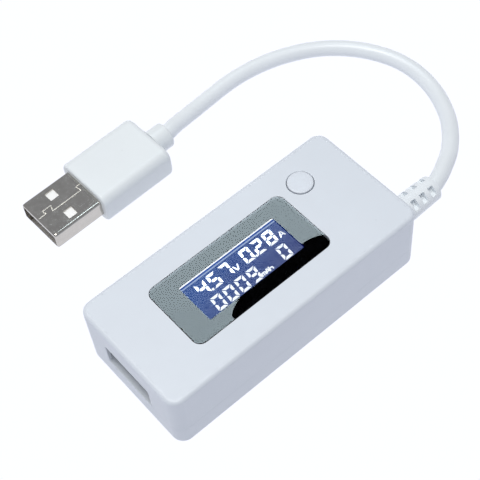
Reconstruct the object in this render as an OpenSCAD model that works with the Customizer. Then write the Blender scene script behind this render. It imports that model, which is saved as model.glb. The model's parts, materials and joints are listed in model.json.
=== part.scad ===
// USB power meter: a small white case with a display window, a flush push button and a
// socket at one end, and a short captive lead with a plug at the other end.
// Millimetres, +Z up. The origin is at the middle of the case's underside. +X runs along
// the case towards the lead, +Y towards the top of the display.

/* [Case] */
// Length of the case
case_l = 63.2; // [62:0.2:63.4]
// Width of the case
case_w = 29.2; // [28.2:0.2:30]
// Height of the case
case_h = 16.2; // [16:0.1:17]
// Radius of the upright corners
corner_r = 2.6; // [2.5:0.1:3]
// Radius of the top and bottom edges
edge_r = 0.8; // [0.8:0.1:1.2]
// Thickness of the side walls and floor
wall_t = 1.4; // [1.3:0.1:1.5]
// Thickness of the top wall
top_t = 1.8; // [1.7:0.1:1.9]
// Height of the line where the two case halves meet
split_z = 8; // [7.6:0.1:8.2]

/* [Window and button] */
// Length of the display window
window_l = 34.4; // [34:0.1:35]
// Width of the display window
window_w = 16.4; // [16:0.1:16.8]
// Corner radius of the display window
window_r = 1.9; // [1.5:0.1:2.2]
// Length of the clear area in the window's mask
view_l = 24.2; // [23.5:0.1:24.6]
// Width of the clear area in the window's mask
view_w = 9.6; // [9.2:0.1:9.8]
// Diameter of the button's hole
button_hole_d = 5.8; // [5.7:0.1:6]

/* [USB socket] */
// Width of the socket's cut-out in the case
socket_cut_w = 13.4; // [13.3:0.1:13.8]
// Height of the socket's cut-out in the case
socket_cut_h = 5.9; // [5.8:0.1:6.2]

/* [Lead and plug] */
// Diameter of the lead
cord_d = 3.7; // [3.4:0.1:3.8]
// Diameter of the strain relief beside the case
relief_root_d = 6.3; // [6:0.1:6.6]
// Diameter of the strain relief at its tip
relief_tip_d = 5.7; // [5.4:0.1:6]
// Length of the strain relief outside the case
relief_l = 11; // [11:0.1:12.5]
// Length of the plug's moulded grip
grip_l = 18.8; // [18:0.2:20]
// Width of the plug's moulded grip
grip_w = 15.2; // [14.6:0.2:15.6]
// Height of the plug's moulded grip
grip_h = 8; // [7.8:0.1:8.2]

/* [Hidden] */
$fn = 48;

// Case, worked out from the outside inwards
seam_gap = 0.1;
lip_h = 1;
lip_step = 0.8;
fit_gap = 0.05;
inner_l = case_l - 2*wall_t;
inner_w = case_w - 2*wall_t;
inner_r = corner_r - wall_t;
ceiling_z = case_h - top_t;

// Display window and what lies under it, from the top down
window_x = -2.7;
window_y = 0.15;
window_t = 0.9;
mask_t = 0.1;
view_x = -2.15;
view_y = 0.35;
ledge_z = case_h - window_t - mask_t;
lcd_l = 27;
glass_t = 0.52;
polarizer_t = 0.18;
segment_t = 0.04;
lcd_near_y = -5.95;
lcd_far_y = 4.85;
ledge_far_y = 6.5;
polarizer_z = ledge_z - fit_gap - polarizer_t;
front_glass_z = polarizer_z - glass_t;
segment_z = front_glass_z - segment_t;
rear_glass_z = segment_z - glass_t;
rear_polarizer_z = rear_glass_z - polarizer_t;
diffuser_t = 0.2;
diffuser_z = rear_polarizer_z - diffuser_t;
guide_t = 1.5;
guide_z = diffuser_z - fit_gap - guide_t;
tray_t = 0.7;
tray_z = guide_z - tray_t;
tray_wall = 1;
tray_near_y = -6.3;
tray_far_y = 6.45;
end_wall_x = lcd_l/2 + 0.1;

// Digits of the display
digit_w = 2.25;
digit_h = 3.42;
digit_pitch = 3;
stroke = 0.56;
slant = 0.08;
row_1_y = 2.33;
row_2_y = -2.14;

// Circuit board
board_l = 57.3;
board_w = 24.6;
board_t = 1.6;
board_x = -0.75;
board_top = 5.2;
board_z = board_top - board_t;
post_x = [-25.5, 25];
post_y = 10.8;
post_d = 3.4;
post_pin_d = 1.5;

// USB socket
socket_y = 0.5;
socket_z = 8.05;
socket_w = 13.1;
socket_h = 5.7;
socket_back_x = -16.4;
socket_mouth_x = -case_l/2 + wall_t - 0.1;
sheet_t = 0.3;
socket_floor = socket_z - socket_h/2;
contact_y = [-3.5, -1, 1, 3.5];
contact_w = 1;
tongue_w = 11.1;
tongue_t = 1.84;
tongue_z = socket_z + socket_h/2 - sheet_t - 0.4 - tongue_t;
tongue_tip_x = -28.1;
block_x = -18.6;

// Push button and switch
button_x = 19.5;
button_y = 7.2;
button_r = button_hole_d/2 - 0.15;
switch_w = 6;
switch_h = 3.3;
switch_well_r = 2.4;
dome_z = board_top + 0.8;
dome_h = 1;
cover_z = board_top + switch_h;
cover_t = 0.3;
plunger_top = 11;

// Lead
cord_r = cord_d/2;
exit_x = case_l/2;
exit_y = -8;
exit_z = 8;
relief_bore_r = cord_r + 0.02;
relief_neck_r = 2.4;
flange_r = 3.7;
flange_t = 1.5;
tail_x = 27;
wire_r = 0.42;
pad_x = 20.5;
pad_y = [-8.8, -7.4, -6, -4.6];
pad_h = 0.6;
// Route of the lead's middle line, from the strain relief's tip to the plug
cord_route = [[exit_x + relief_l, exit_y, exit_z], [45.6, -7.1, 7.9], [49.2, -5.4, 7.4],
    [52.5, -3.5, 6.7], [55.6, -1.1, 5.8], [58.4, 1.5, 4.8], [61, 4.4, 3.9], [63.2, 7.6, 3.1],
    [65.1, 11.1, 2.5], [66.5, 14.9, 2.1], [67.3, 19, 1.9], [67.3, 23.1, 1.9], [66.5, 27.1, 1.9],
    [65, 30.9, 1.9], [63, 34.4, 1.9], [60.5, 37.6, 1.9], [57.6, 40.4, 1.9], [54.3, 42.8, 1.9],
    [50.8, 44.7, 1.9], [47.1, 46.2, 1.9], [43.3, 47.3, 1.9], [39.3, 48, 1.9], [35.3, 48.3, 1.9],
    [31.3, 48.2, 1.9], [27.2, 47.8, 2], [23.3, 47.3, 2.3], [19.4, 46.6, 2.9], [15.9, 45.8, 3.6],
    [13, 45, 4]];
cord_sides = 8;

// Plug: its own frame has x = 0 where the metal shell leaves the grip, and the shell
// points along -x. Its neck ends where the lead's route ends. It lies with the seam of its
// shell and the tongue under that seam on top.
plug_yaw = 1.6;
shell_w = 12;
shell_h = 4.5;
shell_out = 12.4;
shell_in = 6.3;
grip_r = 2.2;
neck_l = 4.4;
neck_r = 3;
core_l = 11.4;
plug_at = cord_route[len(cord_route) - 1] - (grip_l + neck_l)*[cos(plug_yaw), sin(plug_yaw), 0];

// ---------------------------------------------------------------- shared shapes

// Rectangle with round corners, about its middle
module rounded_rect(x, y, r) {
    square([x, y - 2*r], center = true);
    square([x - 2*r, y], center = true);
    for (sx = [-1, 1], sy = [-1, 1])
        translate([sx*(x/2 - r), sy*(y/2 - r)]) circle(r);
}

// Plate with round upright corners between two heights
module plate(x, y, r, low, high)
    translate([0, 0, low]) linear_extrude(high - low) rounded_rect(x, y, r);

// Plain box given by its lowest and highest corners
module box(low, high) translate(low) cube(high - low);

// Section from the middle outwards with its outer top corner rounded
module edge_section(width, height) {
    square([width, height - edge_r]);
    square([width - edge_r, height]);
    translate([width - edge_r, height - edge_r]) circle(edge_r);
}

// One half of the case's outer form: flat at z = 0, with rounded edges at the far side
module half_block(height) {
    rotate([90, 0, 90]) translate([0, 0, corner_r - case_l/2])
        linear_extrude(case_l - 2*corner_r)
            for (s = [0, 1]) mirror([s, 0]) edge_section(case_w/2, height);
    for (turn = [0, 180]) rotate([0, 0, turn])
        translate([case_l/2 - corner_r, case_w/2 - corner_r, 0]) rotate([90, 0, 0])
            linear_extrude(case_w - 2*corner_r) edge_section(corner_r, height);
    for (k = [0:3])
        translate([(k == 0 || k == 3 ? 1 : -1)*(case_l/2 - corner_r),
                   (k < 2 ? 1 : -1)*(case_w/2 - corner_r), 0])
            rotate([0, 0, 90*k]) rotate_extrude(angle = 90) edge_section(corner_r, height);
}

// The USB socket's cut-out and the lead's hole, through the end walls of both halves
module end_cuts() {
    translate([-case_l/2 - 1, socket_y, socket_z]) rotate([90, 0, 90])
        linear_extrude(wall_t + 1.5) rounded_rect(socket_cut_w, socket_cut_h, 0.6);
    translate([case_l/2 - wall_t - 1, exit_y, exit_z]) rotate([0, 90, 0])
        cylinder(h = wall_t + 2, r = relief_neck_r + fit_gap);
}

// Puts its children on each of the board's four posts
module at_posts()
    for (x = post_x, s = [-1, 1]) translate([x, s*post_y, 0]) children();

// Tube that follows a list of points, with a ring of points square to the route at each
function unit(v) = v/norm(v);
function tangent(route, i) =
    unit(route[min(i + 1, len(route) - 1)] - route[max(i - 1, 0)]);
function ring(p, t, up, r, sides) =
    let(side = unit(cross(up, t)), lift = cross(t, side))
    [for (k = [0:sides - 1]) p + r*(cos(360*k/sides)*side + sin(360*k/sides)*lift)];
module swept_tube(route, r, sides, up, first, last) {
    n = len(route);
    rings = [for (i = [0:n - 1])
        each ring(route[i], i == 0 ? first : i == n - 1 ? last : tangent(route, i),
                  up, r, sides)];
    faces = concat([[for (k = [0:sides - 1]) k]],
        [for (i = [0:n - 2], k = [0:sides - 1]) let(m = (k + 1) % sides)
            [i*sides + k, (i + 1)*sides + k, (i + 1)*sides + m, i*sides + m]],
        [[for (k = [sides - 1:-1:0]) (n - 1)*sides + k]]);
    polyhedron(points = rings, faces = faces);
}

// ------------------------------------------------------------------------- case

// Snap hook on the inside of a long wall, a strip with a barb at its top
module snap_hook() {
    y = inner_w/2;
    translate([-2, 0, 0]) rotate([90, 0, 90]) linear_extrude(4)
        polygon([[y - 0.9, 6], [y + 0.1, 6], [y + 0.1, split_z - 0.2], [y - fit_gap, split_z - 0.2],
                 [y - fit_gap, split_z + 1.6], [y + 0.3, split_z + 1.6], [y - fit_gap, split_z + 2.7],
                 [y - 0.9, split_z + 2.7]]);
}

module upper_case() {
    color("whitesmoke") difference() {
        union() {
            difference() {
                translate([0, 0, split_z + seam_gap/2])
                    half_block(case_h - split_z - seam_gap/2);
                plate(inner_l, inner_w, inner_r, split_z - 1, ceiling_z);
            }
            // Ring that guides the button's flange
            translate([button_x, button_y, ceiling_z - 2]) cylinder(h = 2.2, r = 4.5);
            // Posts that hold the board down
            at_posts() translate([0, 0, board_top + fit_gap])
                cylinder(h = ceiling_z - board_top, r = 1.5);
            // Ribs at the display's two ends
            for (x = [-18.6, 13.2]) box([x, -5, ceiling_z - 3.2], [x + 1, 5, ceiling_z + 0.2]);
        }
        // Seat and opening of the display window
        translate([window_x, window_y, 0])
            plate(window_l, window_w, window_r, ledge_z, case_h + 1);
        box([view_x - 14.85, -6.45, ceiling_z - 1], [view_x + 14.85, 7.2, case_h]);
        // Button's hole and the space for its flange
        translate([button_x, button_y, ceiling_z - 3]) {
            cylinder(h = 6, r = button_hole_d/2);
            cylinder(h = 3, r = 3.6);
        }
        at_posts() translate([0, 0, board_top - 1]) cylinder(h = 3, r = 0.95);
        // Room for the lower half's lip and its hooks
        translate([0, 0, split_z - 1]) difference() {
            linear_extrude(lip_h + 1.1)
                rounded_rect(case_l - 2*(lip_step - fit_gap), case_w - 2*(lip_step - fit_gap),
                             corner_r - lip_step + fit_gap);
            translate([0, 0, -1]) linear_extrude(5) square([inner_l - 3, inner_w - 3], center = true);
        }
        for (x = [-14, 14], s = [0, 1]) mirror([0, s, 0])
            box([x - 2.2, inner_w/2 - 0.2, split_z + 1.4], [x + 2.2, inner_w/2 + 0.4, split_z + 2.9]);
        end_cuts();
    }
}

module lower_case() {
    color("whitesmoke") union() {
        difference() {
            union() {
                translate([0, 0, split_z - seam_gap/2]) mirror([0, 0, 1])
                    half_block(split_z - seam_gap/2);
                // Lip that locates the upper half
                plate(case_l - 2*lip_step, case_w - 2*lip_step, corner_r - lip_step,
                      split_z - 1, split_z + lip_h);
            }
            plate(inner_l, inner_w, inner_r, wall_t, split_z + 2);
            end_cuts();
        }
        // Posts under the board, with the pins that locate it
        at_posts() {
            translate([0, 0, wall_t - 0.2]) cylinder(h = board_z - wall_t + 0.2, r = post_d/2);
            translate([0, 0, board_z - 0.2]) cylinder(h = board_t + 0.8, r = post_pin_d/2);
        }
        for (x = [-14, 14], s = [0, 1]) mirror([0, s, 0]) translate([x, 0, 0]) snap_hook();
    }
}

module display_window() {
    color([0.1, 0.1, 0.12, 0.5]) translate([window_x, window_y, 0])
        plate(window_l - 0.1, window_w - 0.1, window_r - 0.05, case_h - window_t, case_h);
}

module window_mask() {
    color("black") difference() {
        translate([window_x, window_y, 0])
            plate(window_l - 0.1, window_w - 0.1, window_r - 0.05, ledge_z, ledge_z + mask_t);
        translate([view_x, view_y, 0])
            plate(view_l, view_w, 0.3, ledge_z - 1, ledge_z + 1);
    }
}

module button_cap() {
    rim = 0.25;
    color("white") translate([button_x, button_y, 0]) rotate_extrude() {
        translate([0, plunger_top + 0.03]) square([1.5, 3]);
        translate([0, ceiling_z - 0.85]) square([3.3, 0.8]);
        translate([0, ceiling_z - 0.2]) square([button_r, case_h - ceiling_z + 0.2 - rim]);
        translate([0, case_h - 1]) square([button_r - rim, 1]);
        translate([button_r - rim, case_h - rim]) circle(rim);
    }
}

// ---------------------------------------------------------------------- display

// Sheet of the display's length between two widths and two heights
module lcd_sheet(near_y, far_y, low, t, inset)
    box([view_x - lcd_l/2 + inset, near_y, low], [view_x + lcd_l/2 - inset, far_y, low + t]);

module lcd_front_polarizer()
    color([0.2, 0.3, 0.6, 0.4]) lcd_sheet(lcd_near_y + 0.3, lcd_far_y, polarizer_z, polarizer_t, 0.4);

module lcd_front_glass()
    color([0.7, 0.85, 0.9, 0.4]) lcd_sheet(lcd_near_y, lcd_far_y, front_glass_z, glass_t, 0);

module lcd_rear_glass()
    color([0.7, 0.85, 0.9, 0.4]) lcd_sheet(lcd_near_y, ledge_far_y, rear_glass_z, glass_t, 0);

module lcd_rear_polarizer()
    color([0.1, 0.2, 0.7]) lcd_sheet(lcd_near_y + 0.3, lcd_far_y, rear_polarizer_z, polarizer_t, 0.4);

// Which of the seven strokes each digit lights: top, upper left, upper right, middle,
// lower left, lower right, bottom
lit = [[1, 1, 1, 0, 1, 1, 1], [0, 0, 1, 0, 0, 1, 0], [1, 0, 1, 1, 1, 0, 1],
       [1, 0, 1, 1, 0, 1, 1], [0, 1, 1, 1, 0, 1, 0], [1, 1, 0, 1, 0, 1, 1],
       [1, 1, 0, 1, 1, 1, 1], [1, 0, 1, 0, 0, 1, 0], [1, 1, 1, 1, 1, 1, 1],
       [1, 1, 1, 1, 0, 1, 1]];

// Stroke with mitred ends from a to b, leaning with the digits
module bar(a, b, w) {
    along = unit(b - a);
    across = [-along[1], along[0]]*w/2;
    tip = w*0.36;
    lean = function (p) [p[0] + slant*p[1], p[1]];
    polygon([lean(a), lean(a + tip*along + across), lean(b - tip*along + across),
             lean(b), lean(b - tip*along - across), lean(a + tip*along - across)]);
}

// One seven-stroke digit about its middle: the strokes meet on mitres, a gap apart
module digit(n) {
    x = digit_w/2;
    y = digit_h/2;
    gap = 0.15;
    level = [[-x + gap, y], [x - gap, y], [x - stroke - gap, y - stroke], [-x + stroke + gap, y - stroke]];
    upright = [[-x, y - gap], [-x + stroke, y - stroke - gap], [-x + stroke, stroke/2 + gap],
               [-x + stroke/2, gap], [-x, gap]];
    middle = [[-x + stroke/2 + gap, 0], [-x + stroke + gap, stroke/2], [x - stroke - gap, stroke/2],
              [x - stroke/2 - gap, 0], [x - stroke - gap, -stroke/2], [-x + stroke + gap, -stroke/2]];
    shapes = [level, upright, [for (p = upright) [-p[0], p[1]]], middle,
              [for (p = upright) [p[0], -p[1]]], [for (p = upright) -p], [for (p = level) [p[0], -p[1]]]];
    for (k = [0:6]) if (lit[n][k])
        polygon([for (p = shapes[k]) [p[0] + slant*p[1], p[1]]]);
}

// Unit letters made of short plain strokes
module letter(strokes, size)
    for (s = strokes) bar(s[0]*size, s[1]*size, 0.24);
letter_v = [[[-0.42, 0.5], [-0.02, -0.5]], [[0.42, 0.5], [0.06, -0.42]]];
letter_a = [[[-0.42, -0.5], [-0.04, 0.5]], [[0.42, -0.5], [0.08, 0.42]], [[-0.26, -0.14], [0.26, -0.14]]];
letter_m = [[[-0.45, -0.5], [-0.45, 0.3]], [[0, -0.5], [0, 0.3]], [[0.45, -0.5], [0.45, 0.3]], [[-0.5, 0.26], [0.5, 0.26]]];
letter_h = [[[-0.35, -0.5], [-0.35, 0.6]], [[0.35, -0.5], [0.35, 0.14]], [[-0.35, 0.1], [0.38, 0.1]]];

module lcd_segments() {
    dot = 0.5;
    color("white") translate([0, 0, segment_z]) linear_extrude(segment_t) {
        for (k = [0:2]) {
            translate([-10.6 + k*digit_pitch, row_1_y]) digit([4, 5, 7][k]);
            translate([0.75 + k*digit_pitch, row_1_y]) digit([0, 2, 8][k]);
        }
        for (k = [0:3]) translate([-10.2 + k*digit_pitch, row_2_y]) digit([0, 0, 0, 9][k]);
        translate([6.7, row_2_y]) digit(0);
        for (x = [-9.18, 2.17]) translate([x, row_1_y - digit_h/2 + dot/2])
            square(dot, center = true);
        translate([-2.6, 1.45]) letter(letter_v, 1.4);
        translate([9.1, 1.45]) letter(letter_a, 1.4);
        translate([0.35, -3.2]) letter(letter_m, 0.95);
        translate([1.35, -3.15]) letter(letter_a, 1.1);
        translate([2.25, -3.15]) letter(letter_h, 1.05);
    }
}

module backlight_diffuser()
    color("white") lcd_sheet(lcd_near_y + 0.75, tray_far_y - 1.15, diffuser_z, diffuser_t, 0.9);

module backlight_guide()
    color([0.8, 0.9, 1, 0.6])
        box([view_x - lcd_l/2 + 0.95, lcd_near_y + 0.75, guide_z],
            [view_x + lcd_l/2 - 2.2, tray_far_y - 1.15, guide_z + guide_t]);

module backlight_frame() {
    // Tray under the glass, end walls beside it and the bright bar over its far edge
    color("white") union() {
        difference() {
            box([view_x - end_wall_x - tray_wall, tray_near_y, tray_z],
                [view_x + end_wall_x + tray_wall, tray_far_y, rear_glass_z - fit_gap]);
            box([view_x - lcd_l/2 + 0.9, lcd_near_y + 0.7, guide_z - 0.02],
                [view_x + lcd_l/2 - 0.9, tray_far_y - 1.1, rear_glass_z + 1]);
            box([view_x - lcd_l/2 + 0.35, lcd_near_y + 0.25, rear_polarizer_z - 0.02],
                [view_x + lcd_l/2 - 0.35, tray_far_y - 1, rear_glass_z + 1]);
        }
        for (s = [-1, 1])
            translate([view_x + s*(end_wall_x + tray_wall/2), 0, 0])
                box([-tray_wall/2, tray_near_y, tray_z], [tray_wall/2, lcd_far_y + 0.8, polarizer_z + polarizer_t]);
        box([view_x - end_wall_x - 0.5, lcd_far_y + fit_gap, segment_z + segment_t],
            [view_x + end_wall_x + 0.5, lcd_far_y + 0.8, polarizer_z + polarizer_t]);
    }
}

module backlight_leds()
    color("khaki") for (y = [-3, 2.4])
        box([view_x + lcd_l/2 - 2.1, y - 1.4, guide_z + 0.05],
            [view_x + lcd_l/2 - 1, y + 1.4, guide_z + 1.25]);

module lcd_pins()
    color("silver") for (k = [0:15]) translate([view_x + (k - 7.5)*1.55, 0, 0])
        rotate([90, 0, 90]) translate([0, 0, -0.25]) linear_extrude(0.5)
            polygon([[ledge_far_y - 0.75, segment_z + 0.02], [ledge_far_y + 0.05, segment_z + 0.02],
                     [ledge_far_y + 0.05, board_top], [ledge_far_y + 0.35, board_top],
                     [ledge_far_y + 0.35, segment_z + 0.22], [ledge_far_y - 0.75, segment_z + 0.22]]);

// ------------------------------------------------------------------------ board

module circuit_board() {
    color("darkgreen") difference() {
        translate([board_x, 0, 0]) plate(board_l, board_w, 1, board_z, board_top);
        at_posts() translate([0, 0, board_z - 1]) cylinder(h = 4, r = post_pin_d/2 + 0.1);
        // Slots for the socket's two legs and holes for its four contacts
        for (s = [-1, 1])
            translate([-21, socket_y + s*(socket_w/2 - 0.15), board_z - 1])
                linear_extrude(4) square([3, 0.9], center = true);
        for (y = contact_y)
            translate([-17.3, socket_y + y, board_z - 1]) cylinder(h = 4, r = 0.5);
    }
}

module socket_shell() {
    finger_l = 6.4;
    color("silver") union() {
        difference() {
            translate([socket_mouth_x, socket_y, socket_z]) rotate([90, 0, 90])
                linear_extrude(socket_back_x - socket_mouth_x) difference() {
                    rounded_rect(socket_w, socket_h, 0.6);
                    rounded_rect(socket_w - 2*sheet_t, socket_h - 2*sheet_t, 0.15);
                }
            // Windows round the spring fingers, in the roof and the floor
            for (s = [-1, 1])
                box([-27.6, socket_y + s*3 - 1.1, socket_floor - 1],
                    [-20.6, socket_y + s*3 + 1.1, socket_floor + socket_h + 1]);
            // The contacts' legs leave through the floor
            box([-18.5, socket_y - 4.4, socket_floor - 1], [-16, socket_y + 4.4, socket_floor + 1]);
        }
        // Spring fingers, tilted into the socket
        for (s = [-1, 1], side = [0, 1])
            translate([-20.4, socket_y + s*3, socket_z]) mirror([0, 0, side])
                translate([0, 0, -socket_h/2]) rotate([0, 2.5, 0])
                    translate([-finger_l, -0.8, 0]) cube([finger_l, 1.6, sheet_t]);
        // Back plate and the legs through the board
        translate([socket_back_x - sheet_t, socket_y, socket_z]) rotate([90, 0, 90])
            linear_extrude(sheet_t) rounded_rect(socket_w, socket_h, 0.6);
        for (s = [-1, 1])
            translate([-21, socket_y + s*(socket_w/2 - 0.15), 0])
                box([-1.2, -0.15, board_z - 0.7], [1.2, 0.15, socket_floor + 1.5]);
    }
}

module socket_insulator() {
    roof = socket_z + socket_h/2 - sheet_t;
    color("white") difference() {
        union() {
            box([block_x, socket_y - 6.15, socket_floor + sheet_t + 0.02],
                [socket_back_x - sheet_t - 0.02, socket_y + 6.15, roof - 0.02]);
            box([tongue_tip_x, socket_y - tongue_w/2, tongue_z],
                [block_x + 1, socket_y + tongue_w/2, tongue_z + tongue_t]);
        }
        // Grooves that the contacts lie in
        for (y = contact_y)
            box([tongue_tip_x + 0.8, socket_y + y - contact_w/2 - 0.03, 0],
                [-16.95, socket_y + y + contact_w/2 + 0.03, tongue_z + 0.2]);
    }
}

module socket_contacts()
    color("gold") for (y = contact_y) translate([0, socket_y + y, 0]) {
        box([tongue_tip_x + 0.9, -contact_w/2, tongue_z - 0.12],
            [-17, contact_w/2, tongue_z + 0.18]);
        box([-17.3, -contact_w/2, board_top + 0.1], [-17, contact_w/2, tongue_z]);
        box([-17.5, -0.25, board_z - 0.7], [-17, 0.25, board_top + 0.3]);
    }

// Row of gull-wing leads along +Y of a chip whose side is at y
module lead_row(count, pitch, w, y, top)
    for (k = [0:count - 1]) translate([(k - (count - 1)/2)*pitch, 0, 0])
        rotate([90, 0, 90]) translate([0, 0, -w/2]) linear_extrude(w)
            polygon([[y, board_top + top], [y + 0.4, board_top + top], [y + 0.5, board_top + 0.15],
                     [y + 1, board_top + 0.15], [y + 1, board_top], [y + 0.35, board_top],
                     [y + 0.25, board_top + top - 0.15], [y, board_top + top - 0.15]]);

module controller_chip()
    color("dimgray") translate([4, -3.5, 0]) difference() {
        box([-3.5, -3.5, board_top + 0.1], [3.5, 3.5, board_top + 1.5]);
        translate([-2.6, 2.6, board_top + 1.4]) cylinder(h = 1, r = 0.4);
    }

module controller_leads()
    color("silver") translate([4, -3.5, 0])
        for (turn = [0:90:270]) rotate([0, 0, turn]) lead_row(8, 0.8, 0.35, 3.5, 0.85);

module memory_chip()
    color("dimgray") translate([-9, -5, 0])
        box([-2.45, -1.95, board_top + 0.1], [2.45, 1.95, board_top + 1.6]);

module memory_leads()
    color("silver") translate([-9, -5, 0])
        for (turn = [0, 180]) rotate([0, 0, turn]) lead_row(4, 1.27, 0.4, 1.95, 0.9);

module regulator()
    color("dimgray") translate([14, -9, 0])
        box([-2.25, -1.25, board_top + 0.05], [2.25, 1.25, board_top + 1.5]);

module regulator_leads()
    color("silver") translate([14, -9, 0]) {
        for (x = [-1.5, 0, 1.5]) box([x - 0.25, -2.1, board_top], [x + 0.25, -1.25, board_top + 0.35]);
        box([-0.9, 1.25, board_top], [0.9, 2, board_top + 0.35]);
    }

module shunt_resistor()
    color("black") box([-15.2, 8.2, board_top], [-9.6, 11.2, board_top + 0.6]);

// Middles of the small chip parts on the board
capacitor_at = [[-14, -9.5], [-10.5, -10], [-4, -10], [0, -10.5], [12, 3.2], [12, 0.4],
    [12, -2.4], [-13.5, 0]];
resistor_at = [[-13.5, -2.6], [-13.5, 2.6], [4, -10.5], [7.5, -10.5], [-4.5, -5.5],
    [-4.5, -3], [14.5, -5.4], [18, -11], [-4, 9.5], [0, 9.5], [4, 9.5], [8, 9.5]];

module chip_capacitors()
    color("tan") for (p = capacitor_at) translate([p[0], p[1], 0])
        box([-0.7, -0.6, board_top], [0.7, 0.6, board_top + 1]);

module chip_resistors()
    color("black") for (p = resistor_at) translate([p[0], p[1], 0])
        box([-0.7, -0.6, board_top], [0.7, 0.6, board_top + 0.45]);

module end_cap_pair(h, reach)
    for (s = [0, 180]) rotate([0, 0, s])
        box([reach, -0.62, board_top], [reach + 0.35, 0.62, board_top + h]);

module component_end_caps()
    color("lightgray") {
        for (p = capacitor_at) translate([p[0], p[1], 0]) end_cap_pair(1.02, 0.7);
        for (p = resistor_at) translate([p[0], p[1], 0]) end_cap_pair(0.47, 0.7);
        box([-15.9, 8.2, board_top], [-15.2, 11.2, board_top + 0.62]);
        box([-9.6, 8.2, board_top], [-8.9, 11.2, board_top + 0.62]);
    }

module crystal_can()
    color("silver") translate([-4.2, 2.9, 0]) plate(11, 4.4, 2.1, board_top, board_top + 3.4);

module solder_joints()
    color("lightgray") for (y = pad_y) translate([pad_x, y, board_top])
        cylinder(h = pad_h, r1 = 0.62, r2 = 0.5);

// ----------------------------------------------------------------------- switch

module switch_base()
    color([0.15, 0.15, 0.15]) difference() {
        translate([button_x, button_y, 0])
            box([-switch_w/2, -switch_w/2, board_top], [switch_w/2, switch_w/2, cover_z]);
        translate([button_x, button_y, dome_z]) cylinder(h = 4, r = switch_well_r);
    }

module switch_cover()
    color("silver") difference() {
        translate([button_x, button_y, 0])
            box([-switch_w/2, -switch_w/2, cover_z], [switch_w/2, switch_w/2, cover_z + cover_t]);
        translate([button_x, button_y, cover_z - 1]) cylinder(h = 3, r = 1.8);
    }

module switch_plunger()
    color([0.15, 0.15, 0.15]) translate([button_x, button_y, 0]) {
        translate([0, 0, cover_z - 0.9]) cylinder(h = plunger_top - cover_z + 0.9, r = 1.7);
        translate([0, 0, cover_z - 0.9]) cylinder(h = 0.85, r = 2.2);
        translate([0, 0, dome_z + dome_h + 0.02])
            cylinder(h = cover_z - 0.8 - dome_z - dome_h, r = 1);
    }

// Shallow spring dome: a ring of a thin spherical shell that rises to the plunger
module switch_dome() {
    dome_r = 2.25;
    bend_r = (dome_r*dome_r + dome_h*dome_h)/(2*dome_h);
    color("silver") translate([button_x, button_y, dome_z]) rotate_extrude() intersection() {
        translate([0, dome_h - bend_r]) difference() {
            circle(bend_r, $fn = 96);
            circle(bend_r - 0.12, $fn = 96);
        }
        square([dome_r, dome_h]);
    }
}

module switch_terminals()
    color("silver") translate([button_x, button_y, 0])
        for (x = [-2.25, 2.25], s = [0, 1]) mirror([0, s, 0]) translate([x, 0, 0])
            rotate([90, 0, 90]) translate([0, 0, -0.35]) linear_extrude(0.7)
                polygon([[switch_w/2, board_top], [switch_w/2 + 1.3, board_top],
                         [switch_w/2 + 1.3, board_top + 0.2], [switch_w/2 + 0.2, board_top + 0.2],
                         [switch_w/2 + 0.2, board_top + 1.2], [switch_w/2, board_top + 1.2]]);

// ------------------------------------------------------------------------- lead

// Strain relief: flange inside the wall, groove in the wall, slotted sleeve outside
module strain_relief() {
    root = relief_root_d/2;
    tip = relief_tip_d/2;
    color("whitesmoke") translate([exit_x, exit_y, exit_z]) rotate([0, 90, 0]) difference() {
        rotate_extrude()
            polygon([[relief_bore_r, -wall_t - fit_gap - flange_t],
                     [flange_r, -wall_t - fit_gap - flange_t], [flange_r, -wall_t - fit_gap],
                     [relief_neck_r, -wall_t - fit_gap], [relief_neck_r, 0.02], [root, 0.02],
                     [tip, relief_l - 0.4], [tip - 0.4, relief_l], [relief_bore_r, relief_l]]);
        for (k = [0:2], turn = [20:90:290])
            translate([0, 0, relief_l - 2.6 - 2.5*k]) rotate([0, 0, turn])
                rotate_extrude(angle = 50) translate([2.1, 0]) square([2, 1.2]);
    }
}

module cord_tail()
    color("whitesmoke") translate([tail_x, exit_y, exit_z]) rotate([0, 90, 0])
        cylinder(h = exit_x + relief_l - tail_x - 0.02, r = cord_r);

module cord()
    color("whitesmoke") swept_tube(cord_route, cord_r, cord_sides, [0, 0, 1], [1, 0, 0],
                                   [-cos(plug_yaw), -sin(plug_yaw), 0]);

// One wire from the lead's cut end down to its pad; k is its place in the row of pads
module wire(k) {
    dy = 0.6*(k % 2 == 0 ? -1 : 1);
    dz = 0.6*(k < 2 ? 1 : -1);
    y = exit_y + dy;
    z = exit_z + dz;
    swept_tube([[tail_x - 0.02, y, z], [tail_x - 1.2, y, z],
                [tail_x - 3, (2*y + pad_y[k])/3, z - 0.2], [pad_x + 2, pad_y[k], z - 0.6],
                [pad_x + 0.6, pad_y[k], board_top + 1.7], [pad_x, pad_y[k], board_top + 1.2],
                [pad_x, pad_y[k], board_top + pad_h + 0.02]],
               wire_r, 8, [0, 1, 0], [-1, 0, 0], [0, 0, -1]);
}

module wire_red() color("red") wire(0);
module wire_white() color("white") wire(1);
module wire_green() color("green") wire(2);
module wire_black() color([0.1, 0.1, 0.1]) wire(3);

// ------------------------------------------------------------------------- plug

module in_plug() translate(plug_at) rotate([0, 0, plug_yaw]) children();

// Bar along the plug with a rounded rectangular section, between two places on its axis
module plug_bar(from, to, w, h, r)
    translate([from, 0, 0]) rotate([90, 0, 90]) linear_extrude(to - from) rounded_rect(w, h, r);

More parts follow.
